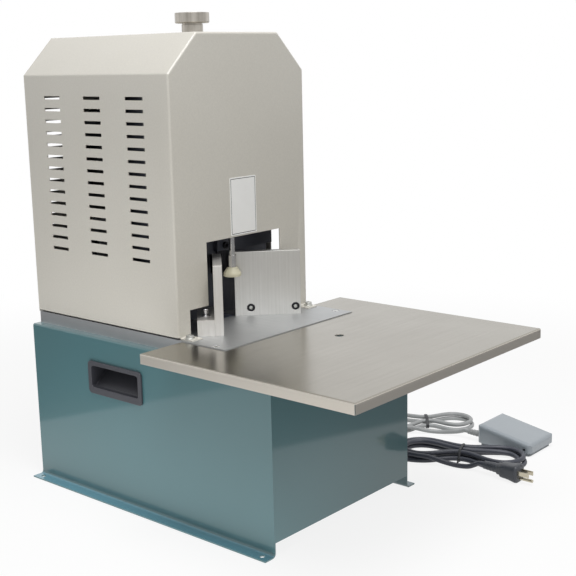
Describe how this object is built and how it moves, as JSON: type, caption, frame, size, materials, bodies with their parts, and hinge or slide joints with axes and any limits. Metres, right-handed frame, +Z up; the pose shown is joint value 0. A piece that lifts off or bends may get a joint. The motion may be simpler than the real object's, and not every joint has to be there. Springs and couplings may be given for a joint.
{
  "type": "electric corner rounder",
  "caption": "Bench press with a sheet-metal hood, angled paper guides, tray table and foot pedal that cuts the corners of a paper stack round.",
  "frame": {"origin": "middle of the four foot bolt holes, at floor level", "axes": "+Z up, -Y the operator's side at the front, +X the operator's right, where the cords and the pedal lie"},
  "size_m": [0.6558, 0.644, 0.6766],
  "materials": {
    "teal_paint": "fine texture, satin",
    "pull_plastic": "moulded grain",
    "ground_steel": "surface ground",
    "zinc_screw": "zinc plated",
    "stainless_tray": "brushed",
    "rail_steel": "primed",
    "beige_paint": "fine texture, satin",
    "guide_aluminium": "milled",
    "black_screw": "black oxide",
    "black_steel": "black oxide",
    "gib_iron": "machined",
    "bearing_steel": "ground",
    "motor_paint": "gloss paint",
    "belt_rubber": "matt",
    "cam_steel": "ground",
    "wheel_iron": "painted",
    "pad_rubber": "matt",
    "knob_steel": "turned, knurled rim",
    "pedal_paint": "hammered",
    "gland_rubber": "matt",
    "black_cord": "satin",
    "grey_cord": "satin",
    "plug_vinyl": "satin",
    "prong_brass": "plated"
  },
  "bodies": {
    "frame": {"cabinet_left_side": "teal_paint", "cabinet_right_side": "teal_paint", "cabinet_front": "teal_paint", "cabinet_back": "teal_paint", "left_pull": "pull_plastic", "right_pull": "pull_plastic", "bed_plate": "ground_steel", "bed_screws": "zinc_screw", "table": "stainless_tray", "table_rails": "rail_steel", "hood_left_side": "beige_paint", "hood_right_side": "beige_paint", "hood_top": "beige_paint", "hood_front": "beige_paint", "hood_back": "beige_paint", "hood_screws": "zinc_screw", "left_guide": "guide_aluminium", "right_guide": "guide_aluminium", "left_guide_foot": "guide_aluminium", "right_guide_foot": "guide_aluminium", "guide_screws": "black_screw", "clamp_screws": "zinc_screw", "die_block": "black_steel", "upright": "black_steel", "upright_bolts": "black_screw", "left_gib": "gib_iron", "right_gib": "gib_iron", "gib_screws": "black_screw", "bearing_housing": "gib_iron", "shaft_bearings": "bearing_steel", "motor": "motor_paint", "drive_belt": "belt_rubber", "pedal_base": "pedal_paint", "pedal_pin": "zinc_screw", "cord_glands": "gland_rubber", "mains_lead": "black_cord", "mains_hank": "black_cord", "mains_tail": "black_cord", "plug_body": "plug_vinyl", "plug_prongs": "prong_brass", "pedal_lead": "grey_cord", "pedal_hank": "grey_cord", "pedal_tail": "grey_cord", "cord_ties": "gland_rubber"},
    "cam": {"camshaft": "bearing_steel", "heart_cam": "cam_steel", "flywheel": "wheel_iron"},
    "ram": {"ram_yoke": "black_steel", "roller_plates": "black_steel", "knife": "cam_steel", "knife_clamp": "black_steel", "knife_screws": "black_screw", "presser_bracket": "black_steel"},
    "presser": {"presser_rod": "bearing_steel", "presser_pad": "pad_rubber"},
    "upper_roller": {"upper_roller": "bearing_steel"},
    "lower_roller": {"lower_roller": "bearing_steel"},
    "motor_rotor": {"motor_pulley": "wheel_iron"},
    "knob": {"hood_knob": "knob_steel"},
    "treadle": {"pedal_treadle": "pedal_paint"}
  },
  "joints": [
    {"name": "cam_turn", "type": "hinge", "parent": "frame", "child": "cam", "pos_m": [0, 0, 0.471], "axis": [0, 1, 0], "range_deg": [0, 180]},
    {"name": "ram_slide", "type": "slide", "parent": "frame", "child": "ram", "axis": [0, 0, -1], "range_m": [0, 0.0645]},
    {"name": "presser_give", "type": "slide", "parent": "ram", "child": "presser", "axis": [0, 0, 1], "range_m": [0, 0.003]},
    {"name": "motor_turn", "type": "hinge", "parent": "frame", "child": "motor_rotor", "pos_m": [0, 0.2, 0.318], "axis": [0, 1, 0], "continuous": true},
    {"name": "upper_roller_spin", "type": "hinge", "parent": "ram", "child": "upper_roller", "pos_m": [0, -0.0075, 0.5655], "axis": [0, 1, 0], "continuous": true},
    {"name": "lower_roller_spin", "type": "hinge", "parent": "ram", "child": "lower_roller", "pos_m": [0, -0.0075, 0.441], "axis": [0, 1, 0], "continuous": true},
    {"name": "knob_turn", "type": "hinge", "parent": "frame", "child": "knob", "pos_m": [0, 0.0234, 0.66], "axis": [0, 0, 1], "continuous": true},
    {"name": "treadle_press", "type": "hinge", "parent": "frame", "child": "treadle", "pos_m": [0.396, -0.305, 0.011], "axis": [-1, 0, 0], "range_deg": [0, 3], "stiffness_Nm_per_rad": 12, "springref_deg": -6.88}
  ],
  "couplings": [
    {"joint": "ram_slide", "follows": "cam_turn", "m_per_rad": 0.020531},
    {"joint": "presser_give", "follows": "cam_turn", "m_per_rad": 0.00095493},
    {"joint": "motor_turn", "follows": "cam_turn", "ratio": 2.7154}
  ]
}
